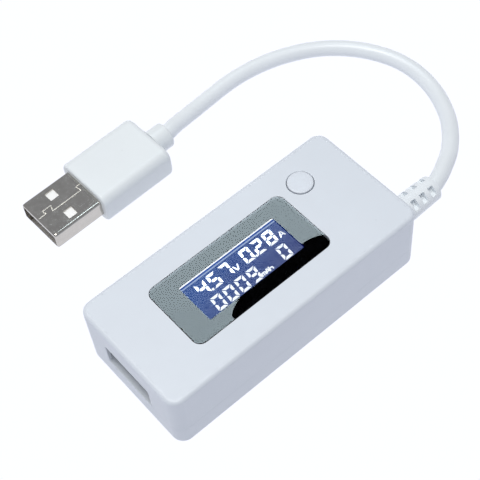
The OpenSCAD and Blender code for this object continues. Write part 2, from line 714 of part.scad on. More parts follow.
module plug_grip()
    color("whitesmoke") in_plug() difference() {
        union() {
            plug_bar(0, grip_l, grip_w, grip_h, grip_r);
            translate([grip_l - 0.5, 0, 0]) rotate([0, 90, 0])
                cylinder(h = neck_l + 0.5, r = neck_r);
        }
        plug_bar(-1, shell_in + fit_gap, shell_w + 0.04, shell_h + 0.04, 0.62);
        plug_bar(shell_in, core_l + 0.02, shell_w - 1, shell_h - 0.3, 0.5);
        translate([core_l, 0, 0]) rotate([0, 90, 0]) cylinder(h = grip_l, r = cord_r + 0.02);
    }

module plug_shell() {
    // Folded seam along the roof: a fine gap with two dovetails
    seam = 0.08;
    dovetail = [[0, 0.15], [2.3, 0.15], [2, 1.2], [4.3, 1.2], [3.8, -0.25],
                [11.5, -0.25], [11.2, 1.25], [13.3, 1.25], [13, 0.15], [19, 0.15]];
    color("silver") in_plug() difference() {
        plug_bar(-shell_out, shell_in, shell_w, shell_h, 0.6);
        plug_bar(-shell_out - 1, shell_in + 1, shell_w - 2*sheet_t, shell_h - 2*sheet_t, 0.15);
        // Square latch holes, two in the roof and two in the floor
        for (s = [-1, 1])
            box([-7.3, s*3.25 - 1.2, -shell_h], [-5.1, s*3.25 + 1.2, shell_h]);
        for (k = [0:len(dovetail) - 2]) {
            a = dovetail[k];
            step = dovetail[k + 1] - a;
            translate([a[0] - shell_out - 0.05, a[1], shell_h/2 - 0.4])
                rotate([0, 0, atan2(step[1], step[0])])
                    translate([-seam/2, -seam/2, 0]) cube([norm(step) + seam, seam, 1]);
        }
    }
}

module plug_insulator()
    color("white") in_plug() difference() {
        union() {
            box([-shell_out + 0.4, -5.6, shell_h/2 - sheet_t - 1.94],
                [shell_in, 5.6, shell_h/2 - sheet_t - 0.02]);
            box([0.5, -5.6, -shell_h/2 + sheet_t + 0.02], [shell_in, 5.6, shell_h/2 - sheet_t - 0.02]);
        }
        for (y = contact_y)
            box([-shell_out + 1.4, y - contact_w/2 - 0.03, -0.02], [shell_in + 1, y + contact_w/2 + 0.03, 0.26]);
    }

module plug_contacts()
    color("gold") in_plug() for (y = contact_y)
        box([-shell_out + (abs(y) > 2 ? 1.5 : 2.5), y - contact_w/2, 0],
            [shell_in + 1, y + contact_w/2, 0.24]);

// Inner block moulded round the joints between the wires and the contacts
module plug_core()
    color("gainsboro") in_plug() difference() {
        plug_bar(shell_in + 0.06, core_l, shell_w - 1.04, shell_h - 0.34, 0.48);
        for (y = contact_y) {
            box([0, y - contact_w/2 - 0.03, -0.02], [shell_in + 1.05, y + contact_w/2 + 0.03, 0.26]);
            translate([shell_in + 1, y, 0.1]) rotate([0, 90, 0]) cylinder(h = 9, r = 0.42);
        }
    }

module plug_wires()
    color("firebrick") in_plug() for (y = contact_y)
        translate([shell_in + 1.07, y, 0.1]) rotate([0, 90, 0])
            cylinder(h = core_l - shell_in - 1.1, r = 0.4);

module plug_cord_end()
    color("whitesmoke") in_plug() translate([core_l + 0.02, 0, 0]) rotate([0, 90, 0])
        cylinder(h = grip_l + neck_l - core_l - 0.04, r = cord_r);

// -------------------------------------------------------------------- selection

upper_case();
lower_case();
display_window();
window_mask();
button_cap();
lcd_front_polarizer();
lcd_front_glass();
lcd_segments();
lcd_rear_glass();
lcd_rear_polarizer();
backlight_diffuser();
backlight_guide();
backlight_frame();
backlight_leds();
lcd_pins();
circuit_board();
socket_shell();
socket_insulator();
socket_contacts();
controller_chip();
controller_leads();
memory_chip();
memory_leads();
regulator();
regulator_leads();
shunt_resistor();
chip_capacitors();
chip_resistors();
component_end_caps();
crystal_can();
solder_joints();
switch_base();
switch_cover();
switch_plunger();
switch_dome();
switch_terminals();
strain_relief();
cord_tail();
cord();
wire_red();
wire_white();
wire_green();
wire_black();
plug_grip();
plug_shell();
plug_insulator();
plug_contacts();
plug_core();
plug_cord_end();
plug_wires();
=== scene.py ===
# USB power meter: a small white case with a lit display and a push button, a captive lead and its plug.
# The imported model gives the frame. Sizes of pieces are in millimetres and turn into metres as each mesh is made.
# Finishes and the studio are in metres.
import json
import math

import bmesh
import bpy
import numpy as np
from mathutils import Matrix, Vector


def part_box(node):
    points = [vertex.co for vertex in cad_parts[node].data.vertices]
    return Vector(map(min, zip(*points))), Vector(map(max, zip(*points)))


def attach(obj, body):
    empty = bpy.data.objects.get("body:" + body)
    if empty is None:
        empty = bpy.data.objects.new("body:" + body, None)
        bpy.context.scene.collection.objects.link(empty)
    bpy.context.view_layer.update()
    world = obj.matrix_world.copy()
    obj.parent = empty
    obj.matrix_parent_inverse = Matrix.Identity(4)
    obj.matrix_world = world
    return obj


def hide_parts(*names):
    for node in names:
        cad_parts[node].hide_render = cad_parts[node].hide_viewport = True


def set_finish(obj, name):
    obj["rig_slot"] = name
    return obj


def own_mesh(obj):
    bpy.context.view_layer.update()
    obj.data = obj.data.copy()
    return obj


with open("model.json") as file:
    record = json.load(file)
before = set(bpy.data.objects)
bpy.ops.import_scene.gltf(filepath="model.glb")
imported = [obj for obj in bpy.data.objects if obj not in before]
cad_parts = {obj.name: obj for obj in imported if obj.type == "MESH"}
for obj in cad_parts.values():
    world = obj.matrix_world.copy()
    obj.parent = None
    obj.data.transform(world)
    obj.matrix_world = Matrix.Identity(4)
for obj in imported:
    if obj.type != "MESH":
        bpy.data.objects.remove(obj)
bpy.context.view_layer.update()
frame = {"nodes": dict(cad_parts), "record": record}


def boxOf(node):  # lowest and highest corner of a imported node, in millimetres
    return [np.array(corner) * 1000 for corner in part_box(node)]


# ---- camera

camera = {
    "place": (-73.75, -101.76, 207.04),
    "forward": (0.32516, 0.46170, -0.82529),
    "right": (0.75485, -0.65241, -0.06758),
    "lens": 88.16,
}


def makeCamera():
    # The camera's own axes are its right, its up and the way back from what it looks at.
    data = bpy.data.cameras.new("camera")
    data.lens, data.sensor_width = camera["lens"], 36
    data.clip_start, data.clip_end = 0.01, 50
    body = bpy.data.objects.new("camera", data)
    bpy.context.scene.collection.objects.link(body)
    back = -Vector(camera["forward"]).normalized()
    right = Vector(camera["right"]).normalized()
    turn = Matrix((right, back.cross(right), back)).transposed()
    body.matrix_world = Matrix.Translation(Vector(camera["place"]) / 1000) @ turn.to_4x4()
    bpy.context.scene.camera = body


makeCamera()
print("camera in place")


# ---- surfaces

def newPiece(name, points, faces, body="housing", slot=None):
    # A mesh from points and faces, turned so that its signed volume is positive.
    mesh = bpy.data.meshes.new(name)
    mesh.from_pydata((np.asarray(points) / 1000).tolist(), [], faces)
    shape = bmesh.new()
    shape.from_mesh(mesh)
    if shape.calc_volume(signed=True) < 0:
        bmesh.ops.reverse_faces(shape, faces=shape.faces)
    shape.to_mesh(mesh)
    shape.free()
    piece = bpy.data.objects.new(name, mesh)
    bpy.context.scene.collection.objects.link(piece)
    if body:
        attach(piece, body)
    if slot:
        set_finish(piece, slot)
    return piece


def wrappedFaces(rows, columns, ends, first=0):
    # Quads between each row and the next, with every row a closed loop.
    # The ends are capped, or the last row meets the first.
    row = np.arange(rows if ends == "join" else rows - 1)[:, None]
    column = np.arange(columns)[None, :]
    after, beside = (row + 1) % rows, (column + 1) % columns
    quads = np.stack([row * columns + column, row * columns + beside,
                      after * columns + beside, after * columns + column], -1).reshape(-1, 4) + first
    faces = quads.tolist()
    if ends == "cap":
        loop = first + np.arange(columns)
        faces += [loop[::-1].tolist(), (loop + (rows - 1) * columns).tolist()]
    return faces


def gridPiece(name, grids, ends="cap", **where):
    # One mesh from several grids of points, each rows by columns by three.
    points, faces = [], []
    for grid in grids:
        faces += wrappedFaces(grid.shape[0], grid.shape[1], ends, sum(len(p) for p in points))
        points.append(grid.reshape(-1, 3))
    return newPiece(name, np.concatenate(points), faces, **where)


def roundedLoops(width, height, radius, steps=8):
    # Rectangles with round corners: each corner's middle plus the radius times the cosine and sine over a quarter turn.
    sizes = np.broadcast_arrays(width, height, radius)
    width, height, radius = (np.atleast_1d(v).astype(float)[:, None] for v in sizes)
    quarter = np.linspace(0, np.pi / 2, steps + 1)
    angle = (np.arange(4)[:, None] * np.pi / 2 + quarter).ravel()
    side = np.repeat([[1, 1], [-1, 1], [-1, -1], [1, -1]], steps + 1, axis=0)
    return np.stack([side[:, 0] * (width / 2 - radius) + radius * np.cos(angle),
                     side[:, 1] * (height / 2 - radius) + radius * np.sin(angle)], -1)


def stacked(loops, level, middle=(0, 0), along="z"):
    # Flat loops set one after another along an axis, about a middle given in the other two.
    level = np.broadcast_to(np.asarray(level, float)[:, None], loops.shape[:2])
    flat = loops + np.asarray(middle)
    order = {"z": (flat[..., 0], flat[..., 1], level), "x": (level, flat[..., 0], flat[..., 1])}
    return np.stack(order[along], -1)


def arc(start, end, count):  # the sines and cosines of evenly spaced angles, given in degrees
    angle = np.radians(np.linspace(start, end, count))
    return np.sin(angle), np.cos(angle)


def lathed(profile, middle, steps=64):
    # A profile of radius and height turned about an upright axis.
    profile = np.asarray(profile, float)
    angle = np.arange(steps) * 2 * np.pi / steps
    loops = profile[:, 0, None, None] * np.stack([np.cos(angle), np.sin(angle)], -1)
    return stacked(loops, profile[:, 1], middle)


def carve(piece, tool, operation="DIFFERENCE"):
    # Cuts the tool out of the piece, or joins it on, and leaves a plain mesh.
    step = piece.modifiers.new("carve", "BOOLEAN")
    step.operation, step.solver, step.object = operation, "EXACT", tool
    graph = bpy.context.evaluated_depsgraph_get()
    made = bpy.data.meshes.new_from_object(piece.evaluated_get(graph), depsgraph=graph)
    piece.modifiers.clear()
    before, piece.data = piece.data, made
    bpy.data.meshes.remove(before)
    bpy.data.meshes.remove(tool.data)
    return piece


def smooth(piece, angle=32):
    # Smooth shading that breaks at sharp edges, with flat faces kept flat.
    piece.data.shade_smooth()
    piece.data.set_sharp_from_angle(angle=math.radians(angle))
    weigh = piece.modifiers.new("flat faces", "WEIGHTED_NORMAL")
    weigh.keep_sharp, weigh.weight = True, 60
    return piece


def flaredHole(width, height, radius, deep, face, rim, middle, along="z", steps=8):
    # A straight-sided tool that opens in a quarter round of the rim's radius as it reaches a face, and then goes on.
    out = np.sign(face - deep)
    rise, run = arc(0, 78, 6)
    grow = np.concatenate([[0], rim * (1 - run), [rim * 0.8 + 0.02]])
    level = np.concatenate([[deep], face + out * rim * (rise - 1), [face + out]])
    loops = roundedLoops(width + 2 * grow, height + 2 * grow, radius + grow, steps)
    return gridPiece("tool", [stacked(loops, level, middle, along)], body=None)


def eased(at, size, inset, share=1.0):
    # Stations of a rounded rectangle: its sizes less twice each inset, and its corner less a share of the inset.
    width, height, corner = size
    return [(a, width - 2 * i, height - 2 * i, corner - share * i) for a, i in zip(at, inset)]


def plainBox(low, high):
    # A box between two corners, its upright edges a hair round.
    low, high = np.asarray(low, float), np.asarray(high, float)
    size, middle = high - low, (low + high) / 2
    loops = roundedLoops([size[0]] * 2, [size[1]] * 2, 0.02, 1)
    return stacked(loops, [low[2], high[2]], middle[:2])


# ---- lead and plug

lead = {
    "diameter": 3.7,
    "tail": 27.0,          # where the jacket ends inside the case
    "exit": (31.6, -8, 8),
    "unevenness": 0.006,
    "sides": 40,
    # The middle line of the free lead, from the strain relief's tip to the plug's neck
    "route": [(42.6, -8, 8), (45.6, -7.1, 7.9), (49.2, -5.4, 7.4), (52.5, -3.5, 6.7), (55.6, -1.1, 5.8),
              (58.4, 1.5, 4.8), (61, 4.4, 3.9), (63.2, 7.6, 3.1), (65.1, 11.1, 2.5), (66.5, 14.9, 2.1),
              (67.3, 19, 1.9), (67.3, 23.1, 1.9), (66.5, 27.1, 1.9), (65, 30.9, 1.9), (63, 34.4, 1.9),
              (60.5, 37.6, 1.9), (57.6, 40.4, 1.9), (54.3, 42.8, 1.9), (50.8, 44.7, 1.9), (47.1, 46.2, 1.9),
              (43.3, 47.3, 1.9), (39.3, 48, 1.9), (35.3, 48.3, 1.9), (31.3, 48.2, 1.9), (27.2, 47.8, 2),
              (23.3, 47.3, 2.3), (19.4, 46.6, 2.9), (15.9, 45.8, 3.6), (13, 45, 4)],
}

plug = {
    "yaw": math.radians(1.6),
    "grip": (18.8, 15.2, 8.0, 2.2),      # length, width, height, corner radius
    "neck": (4.4, 3.0),                  # length, radius
    "shell": (12.0, 4.5, 0.6, 0.3),      # width, height, corner radius, sheet
    "shellOut": 12.4,
    "shellIn": 6.3,
    "core": 11.4,
    "frontEdge": 0.55,
    "backEdge": 1.1,
    "latch": (-6.2, 3.25, 2.2, 2.4),     # middle along the plug, distance from its middle line, length, width
    "seamWidth": 0.2,
}
plugWay = np.array([math.cos(plug["yaw"]), math.sin(plug["yaw"]), 0])
plugAt = np.array(lead["route"][-1]) - (plug["grip"][0] + plug["neck"][0]) * plugWay


def inPlug(points):
    # From the plug's own frame, where x runs from the shell's root towards the lead, to the object's frame.
    points = np.asarray(points, float)
    across = np.array([-plugWay[1], plugWay[0], 0])
    return plugAt + points[..., :1] * plugWay + points[..., 1:2] * across + points[..., 2:] * np.array([0, 0, 1.0])


def throughPoints(knots, step):
    # A smooth curve through the knots: a cubic between each two, with the mean of the neighbouring chords as its slope,
    # then taken again at even distances.
    knots = np.asarray(knots, float)
    gap = np.linalg.norm(np.diff(knots, axis=0), axis=1)
    slope = np.gradient(knots, np.concatenate([[0], np.cumsum(gap)]), axis=0)
    t = np.linspace(0, 1, 12, endpoint=False)[None, :, None]
    a, b = knots[:-1, None], knots[1:, None]
    da, db = slope[:-1, None] * gap[:, None, None], slope[1:, None] * gap[:, None, None]
    curve = (2 * t**3 - 3 * t**2 + 1) * a + (t**3 - 2 * t**2 + t) * da + (3 * t**2 - 2 * t**3) * b + (t**3 - t**2) * db
    curve = np.concatenate([curve.reshape(-1, 3), knots[-1:]])
    along = np.concatenate([[0], np.cumsum(np.linalg.norm(np.diff(curve, axis=0), axis=1))])
    places = np.linspace(0, along[-1], int(along[-1] / step) + 1)
    return np.stack([np.interp(places, along, curve[:, k]) for k in range(3)], -1)


def tubeAlong(line, radius, sides):
    # Rings square to a line: its point plus the radius times cosine along its level side and sine along its lift.
    way = np.gradient(line, axis=0)
    way /= np.linalg.norm(way, axis=1, keepdims=True)
    side = np.cross([0, 0, 1.0], way)
    side /= np.linalg.norm(side, axis=1, keepdims=True)
    lift = np.cross(way, side)
    angle = np.arange(sides) * 2 * np.pi / sides
    around = np.cos(angle)[:, None] * side[:, None] + np.sin(angle)[:, None] * lift[:, None]
    return line[:, None] + radius[:, None, None] * around


def makeLead():
    # Straight out of the case through the strain relief, along the route, and straight on into the plug's grip.
    inside = np.linspace(0, 1, 6)[:-1, None]
    start = (lead["tail"], *lead["exit"][1:])
    head = np.array(start) + inside * (np.array(lead["route"][0]) - start)
    end = inPlug([plug["core"], 0, 0])
    foot = end + inside[::-1] * (np.array(lead["route"][-1]) - end)
    line = throughPoints(np.concatenate([head, lead["route"], foot]), 0.6)
    along = np.linspace(0, 1, len(line))
    radius = lead["diameter"] / 2 * (1 + lead["unevenness"] * np.sin(along * 61) * np.sin(along * 23 + 1))
    rings = tubeAlong(line, radius, lead["sides"])
    piece = gridPiece("lead", [rings], slot="lead_white")
    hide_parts("cord", "cord_tail", "plug_cord_end")
    length = np.linalg.norm(np.diff(line, axis=0), axis=1).sum()
    print(f"lead: {len(line)} rings, {length:.1f} mm")
    return smooth(piece), line, length


relief = {
    "length": 11.0, "root": 3.15, "tip": 2.85, "neck": 2.4, "bore": 1.87,
    "flange": 3.7, "flangeThick": 1.5, "wallInside": -1.45,
    "slots": 3, "slotWide": 1.2, "slotStep": 2.5, "slotFromTip": 2.6,
    "slotBottom": 1.93, "slotFloor": 1.3, "slotTurn": 26, "slope": 0.07, "tipRound": 0.4,
}


def makeStrainRelief():
    # A turned sleeve whose radius drops to a slot's bottom where a step along it and a step round it are both 1.
    # Each slot's floor is flat: its radius is the floor's height over the sine of the angle.
    r, slope, tipRound = relief, relief["slope"], relief["tipRound"]
    start = r["length"] - r["slotFromTip"] - r["slotStep"] * np.arange(r["slots"])[::-1]
    edges = (start[:, None] + [-slope, slope, r["slotWide"] - slope, r["slotWide"] + slope]).ravel()
    rise, run = arc(0, 90, 7)
    rows = np.concatenate([[0.03, 0.15], edges, r["length"] - tipRound * (1 - rise)])
    deep = np.concatenate([[0, 0], np.tile([0, 1, 1, 0], r["slots"]), np.zeros(7)])
    outer = np.interp(rows, [0, r["length"]], [r["root"], r["tip"]])
    outer[0] -= 0.12
    outer[-7:] -= tipRound * (1 - run)
    turn = r["slotTurn"]
    flank = [turn - 1.4, turn + 1.4, 36]
    quarter = 45 + np.array([-45, *(-v for v in flank[::-1]), *range(-18, 19, 6), *flank])
    angle = np.radians((np.arange(4)[:, None] * 90 + quarter).ravel())
    openHere = np.tile(np.abs(quarter - 45) < turn, 4)
    bottom = np.maximum(r["slotBottom"], r["slotFloor"] / np.maximum(np.abs(np.sin(angle)), 0.01))
    radius = outer[:, None] - np.maximum(outer[:, None] - bottom, 0) * deep[:, None] * openHere
    wall, thick, flange = r["wallInside"], r["flangeThick"], r["flange"]
    back, edge = wall - thick, 0.15
    inner = np.array([(r["bore"], r["length"]), (r["bore"], back), (flange - edge, back), (flange, back + edge),
                      (flange, wall - edge), (flange - edge, wall), (r["neck"], wall), (r["neck"], 0.03)])
    radius = np.concatenate([radius, np.repeat(inner[:, :1], len(angle), 1)])
    loops = radius[..., None] * np.stack([np.cos(angle), np.sin(angle)], -1)
    level = lead["exit"][0] + np.concatenate([rows, inner[:, 1]])
    piece = gridPiece("strainRelief", [stacked(loops, level, lead["exit"][1:], "x")], "join", slot="lead_white")
    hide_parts("strain_relief")
    print(f"strain relief: {len(level)} rows, {r['slots'] * 4} slots")
    return smooth(piece)


def makeGrip():
    # Rounded rectangles carried along the plug: the outer form to the neck, then back through the bore and the pocket.
    length, *size = plug["grip"]
    neck, neckRadius = plug["neck"]
    front, rear, fillet, rim, fit = plug["frontEdge"], plug["backEdge"], 0.35, 0.5, 0.02
    shellWidth, shellHeight, *_ = plug["shell"]
    pocket = (shellWidth + 2 * fit, shellHeight + 2 * fit, 0.62)
    inside = (shellWidth - 1, shellHeight - 0.3, 0.5)
    neckSize = (2 * neckRadius, 2 * neckRadius, neckRadius)
    bore = lead["diameter"] / 2 + fit
    hole = (2 * bore, 2 * bore, bore)
    rise, run = arc(0, 90, 7)
    rise, run = 1 - rise, 1 - run
    end, core, root = length + neck, plug["core"] + fit, plug["shellIn"] + 0.05
    stations = [(0, *pocket)]
    stations += eased(front * rise[::-1], size, front * run[::-1], 0.8)
    stations += [(front + 0.2, *size), (length - rear - 0.2, *size)]
    stations += eased(length - rear * rise, size, rear * run, 0.4)
    stations += eased(length + fillet * rise[::-1], neckSize, -fillet * run[::-1])
    stations += eased(end - rim * rise, neckSize, rim * run)
    stations += [(end, *hole), (core, *hole), (core, *inside), (root, *inside), (root, *pocket)]
    at, *sizes = np.array(stations).T
    grid = inPlug(stacked(roundedLoops(*sizes, 10), at, along="x"))
    piece = gridPiece("plugGrip", [grid], "join", slot="grip_white")
    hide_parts("plug_grip")
    print(f"plug grip: {len(at)} stations")
    return smooth(piece)


def seamStrip(path, width, low, high):
    # A strip along a path of corners: each point moved sideways along the mitre of the two runs that meet there.
    path = np.asarray(path, float)
    way = np.diff(path, axis=0)
    way /= np.linalg.norm(way, axis=1, keepdims=True)
    side = np.stack([-way[:, 1], way[:, 0]], -1)
    before, after = np.vstack([side[:1], side]), np.vstack([side, side[-1:]])
    mitre = (before + after) / (1 + (before * after).sum(1, keepdims=True))
    edge = np.stack([np.concatenate([path + mitre * w / 2, (path - mitre * w / 2)[::-1]]) for w in width])
    level = np.broadcast_to(np.array([low, high], float)[:, None, None], (2, edge.shape[1], 1))
    return np.concatenate([edge, level], -1)


def makePlugShell():
    # A folded tube: an outer wall with its lip turned in, and an inner wall, carried along the plug.
    width, height, corner, sheet = plug["shell"]
    mouth, root = -plug["shellOut"], plug["shellIn"]
    rise, run = arc(0, 90, 6)
    lip = 0.4
    outer, inner = (width, height, corner), (width - 2 * sheet, height - 2 * sheet, 0.25)
    stations = [(root, *outer), (mouth + 0.9, *outer)]
    stations += eased(mouth + lip * (1 - rise), outer, lip * (1 - run) + 0.03)
    stations += [(mouth + 0.04, *inner), (root, *inner)]
    at, *sizes = np.array(stations).T
    grid = inPlug(stacked(roundedLoops(*sizes), at, along="x"))
    piece = gridPiece("plugShell", [grid], "join", slot="plug_steel")
    middle, off, long, across = plug["latch"]
    for s in (-1, 1):
        tool = stacked(roundedLoops([long] * 2, [across] * 2, 0.18, 4), [-height, height], (middle, s * off))
        carve(piece, gridPiece("tool", [inPlug(tool)], body=None))
    # The fold's seam: two dovetails in a line along the roof, a groove with sloping sides over a fine gap
    grooveDeep, overcut = 0.11, 0.03
    path = np.array([(-0.5, 0.15), (2.3, 0.15), (2, 1.2), (4.3, 1.2), (3.8, -0.25),
                     (11.5, -0.25), (11.2, 1.25), (13.3, 1.25), (13, 0.15), (19, 0.15)]) + (mouth, 0)
    wide = plug["seamWidth"]
    top = height / 2
    groove = seamStrip(path, (0.03, wide + 2 * overcut), top - grooveDeep, top + overcut)
    carve(piece, gridPiece("tool", [inPlug(groove)], body=None))
    # Faces that slope in the roof are the fold's cut edges, on which the metal's finish paints a pale highlight
    polygons = piece.data.polygons
    normal, centre = np.empty(len(polygons) * 3), np.empty(len(polygons) * 3)
    polygons.foreach_get("normal", normal)
    polygons.foreach_get("center", centre)
    normal, centre = normal.reshape(-1, 3), centre.reshape(-1, 3) * 1000 - plugAt
    across = centre @ np.array([-plugWay[1], plugWay[0], 0])
    inRoof = (np.abs(across) < 2) & (centre[:, 2] > top - 0.1) & (centre @ plugWay > mouth + 0.3)
    sloping = inRoof & (np.abs(normal[:, 2]) < 0.95)
    piece.data.attributes.new("cutEdge", "FLOAT", "FACE").data.foreach_set("value", sloping.astype(np.float32))
    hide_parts("plug_shell")
    print(f"plug shell: {len(polygons)} faces, {sloping.sum()} at the seam")
    return smooth(piece)


leadPiece, leadLine, leadLength = makeLead()
reliefPiece, gripPiece, shellPiece = makeStrainRelief(), makeGrip(), makePlugShell()


# ---- case

case = {
    "corner": 2.6, "edge": 0.8, "wall": 1.4, "roof": 1.8, "seamRound": 0.03,
    "lipStep": 0.8, "lipHeight": 1.0, "clearance": 0.05,
    "window": (34.4, 16.4, 1.9, -2.7, 0.15, 15.2),     # length, width, corner, middle x and y, height of the ledge
    "opening": (29.7, 13.65, -2.15, 0.375),
    "button": (19.5, 7.2, 2.9, 3.6, 4.5),              # middle x and y, radii of the hole, the space below and the ring
    "socket": (13.4, 5.9, 0.6, 0.5, 8.05),
    "leadHole": 2.45,
    "posts": [(x, y) for x in (-25.5, 25) for y in (-10.8, 10.8)],
    "hooks": [(x, s) for x in (-14, 14) for s in (-1, 1)],
}
upperLow, upperHigh = boxOf("upper_case")
lowerLow, lowerHigh = boxOf("lower_case")
caseSize = upperHigh - lowerLow


def caseShell(insets, levels):
    # Rounded rectangles of the case's plan, each set in by its inset and at its own height.
    insets = np.asarray(insets, float)
    length, width, _ = caseSize
    return stacked(roundedLoops(length - 2 * insets, width - 2 * insets, case["corner"] - insets, 10), levels)


def halfProfile(far, seam, lip):
    # From the middle of the outer face round its edge, down the side, round the seam's small edge, and in.
    edge, small, out = case["edge"], case["seamRound"], np.sign(far - seam)
    rise, run = arc(0, 90, 9)
    inset = np.concatenate([[edge + 0.15], edge * (1 - rise), [0, 0], small * (1 - run), lip[0]])
    side = [far - out * (edge + 0.2), seam + out * (small + 0.2)]
    level = np.concatenate([[far], far - out * edge * (1 - run), side, seam + out * small * (1 - rise), lip[1]])
    return inset, level


def cutEnds(piece):
    # The socket's cut-out at one end and the lead's hole at the other
    width, height, corner, y, z = case["socket"]
    left, right = lowerLow[0], upperHigh[0]
    carve(piece, flaredHole(width, height, corner, left + case["wall"] + 0.5, left, 0.22, (y, z), "x"))
    across = 2 * case["leadHole"]
    deep = right - case["wall"] - 1
    carve(piece, flaredHole(across, across, case["leadHole"], deep, right, 0.1, lead["exit"][1:], "x", 12))


def turned(profile, at, steps=32):  # a tool turned about an upright axis
    return gridPiece("tool", [lathed(profile, at, steps)], body=None)


def block(low, high):  # a box as a tool
    return gridPiece("tool", [plainBox(low, high)], body=None)


def makeUpperCase():
    # The roof and its walls, then the posts, the button's guide ring, the window's ribs and catches, and every opening.
    wall, roof, fit = case["wall"], case["roof"], case["clearance"]
    top, seam, ceiling = upperHigh[2], upperLow[2], upperHigh[2] - roof
    rebate = case["lipStep"] - fit
    shelf = seam + case["lipHeight"] + fit
    lip = [rebate, rebate, wall, wall], [seam, shelf, shelf, ceiling]
    piece = gridPiece("upperCase", [caseShell(*halfProfile(top, seam, lip))], slot="case_white")
    x, y, hole, space, ring = case["button"]
    postFoot = boxOf("circuit_board")[1][2] + fit
    for at in case["posts"]:
        carve(piece, turned([(1.5, postFoot), (1.5, ceiling + 0.2)], at), "UNION")
        carve(piece, turned([(0.95, postFoot - 1), (0.95, postFoot + 2)], at))
    carve(piece, turned([(ring, ceiling - 2), (ring, ceiling + 0.2)], (x, y), 48), "UNION")
    for rib in (-18.6, 13.2):
        carve(piece, block((rib, -5, ceiling - 3.2), (rib + 1, 5, ceiling + 0.2)), "UNION")
    for at, s in case["hooks"]:
        far = caseSize[1] / 2 - wall
        near, past = sorted((s * (far - 0.2), s * (far + 0.4)))
        carve(piece, block((at - 2.2, near, seam + 1.35), (at + 2.2, past, seam + 2.85)))
    length, width, corner, middleX, middleY, ledge = case["window"]
    carve(piece, flaredHole(length, width, corner, ledge, top, 0.1, (middleX, middleY)))
    openLength, openWidth, openX, openY = case["opening"]
    opening = roundedLoops([openLength] * 2, [openWidth] * 2, 0.3, 3)
    carve(piece, gridPiece("tool", [stacked(opening, [ceiling - 1, ledge + 0.3], (openX, openY))], body=None))
    carve(piece, flaredHole(2 * hole, 2 * hole, hole, ceiling - 0.5, top, 0.14, (x, y), steps=14))
    carve(piece, turned([(space, ceiling - 3), (space, ceiling)], (x, y), 48))
    cutEnds(piece)
    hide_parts("upper_case")
    print(f"upper case: {len(piece.data.polygons)} faces")
    return smooth(piece)


def snapHook(at, side):
    # A strip on the inside of a long wall, with a barb near its top: its outline carried along the wall.
    y, seam, fit = caseSize[1] / 2 - case["wall"], 8, case["clearance"]
    outline = np.array([(y - 0.9, 6), (y + 0.1, 6), (y + 0.1, seam - 0.2), (y - fit, seam - 0.2),
                        (y - fit, seam + 1.6), (y + 0.3, seam + 1.6), (y - fit, seam + 2.7), (y - 0.9, seam + 2.7)])
    outline[:, 0] *= side
    return stacked(np.stack([outline, outline]), [at - 2, at + 2], along="x")


def makeLowerCase():
    # The floor and its walls with the lip, then the posts with their pins, and the snap hooks.
    wall, step = case["wall"], case["lipStep"]
    floor, seam, rim = lowerLow[2], upperLow[2] - 0.02, 8 + case["lipHeight"]
    lip = [step, step, step + 0.12, wall, wall], [seam, rim - 0.12, rim, rim, floor + wall]
    piece = gridPiece("lowerCase", [caseShell(*halfProfile(floor, seam, lip))], slot="case_white")
    boardLow, boardHigh = (v[2] for v in boxOf("circuit_board"))
    for at in case["posts"]:
        post = [(1.7, floor + wall - 0.2), (1.7, boardLow), (0.75, boardLow), (0.75, boardHigh + 0.45),
                (0.5, boardHigh + 0.6)]
        carve(piece, turned(post, at), "UNION")
    for at, s in case["hooks"]:
        carve(piece, gridPiece("tool", [snapHook(at, s)], body=None), "UNION")
    cutEnds(piece)
    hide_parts("lower_case")
    print(f"lower case: {len(piece.data.polygons)} faces")
    return smooth(piece)


def makeWindow():
    # A clear slab with a fine polished edge, a hair above the printed mask.
    low, high = boxOf("display_window")
    size, middle, chamfer = high - low, (low + high) / 2, 0.07
    inset = np.array([chamfer, 0, 0, chamfer])
    level = np.array([low[2] + 0.02, low[2] + 0.02 + chamfer, high[2] - chamfer, high[2]])
    loops = roundedLoops(size[0] - 2 * inset, size[1] - 2 * inset, case["window"][2] - 0.05 - inset, 10)
    piece = gridPiece("displayWindow", [stacked(loops, level, middle[:2])], slot="window_acrylic")
    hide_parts("display_window")
    print("display window")
    return smooth(piece)


def makeButton():
    # A turned cap that stands a little proud: a slightly domed face, a rounded rim, a flange under the roof and a stem.
    low, high = boxOf("button_cap")
    radius, crown, rim, proud = 2.75, 0.05, 0.2, 0.28
    rise, run = arc(0, 90, 7)
    face = np.linspace(0.15, radius - rim - 0.05, 7)
    shoulder = high[2] + proud - crown
    profile = [(r, high[2] + proud - crown * (r / radius) ** 2) for r in face]
    profile += [(radius - rim * (1 - s), shoulder - rim * (1 - c)) for s, c in zip(rise, run)]
    flangeTop = upperHigh[2] - case["roof"] - 0.05
    flange, stem, thick, bevel = 3.3, 1.5, 0.8, 0.2
    profile += [(radius, flangeTop), (flange, flangeTop), (flange, flangeTop - thick), (stem, flangeTop - thick),
                (stem, low[2] + bevel), (stem - bevel, low[2])]
    piece = gridPiece("buttonCap", [lathed(profile, case["button"][:2], 72)], body="button", slot="button_white")
    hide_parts("button_cap")
    print("button cap")
    return smooth(piece)


def makeDome():
    # A thin shallow cap of spring steel in the switch: two spherical skins joined at the rim.
    low, high = boxOf("switch_dome")
    rise, across, sheet = high[2] - low[2], (high[0] - low[0]) / 2, 0.12
    bend = (across**2 + rise**2) / (2 * rise)
    r = np.linspace(0.1, across, 12)
    outer = [(v, high[2] - bend + math.sqrt(bend**2 - v**2)) for v in r]
    inner = [(v, high[2] - bend + math.sqrt((bend - sheet) ** 2 - v**2)) for v in r[:-1][::-1]]
    piece = gridPiece("switchDome", [lathed(outer + inner, case["button"][:2], 48)], slot="spring_steel")
    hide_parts("switch_dome")
    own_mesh(piece)
    print("switch dome")
    return smooth(piece)


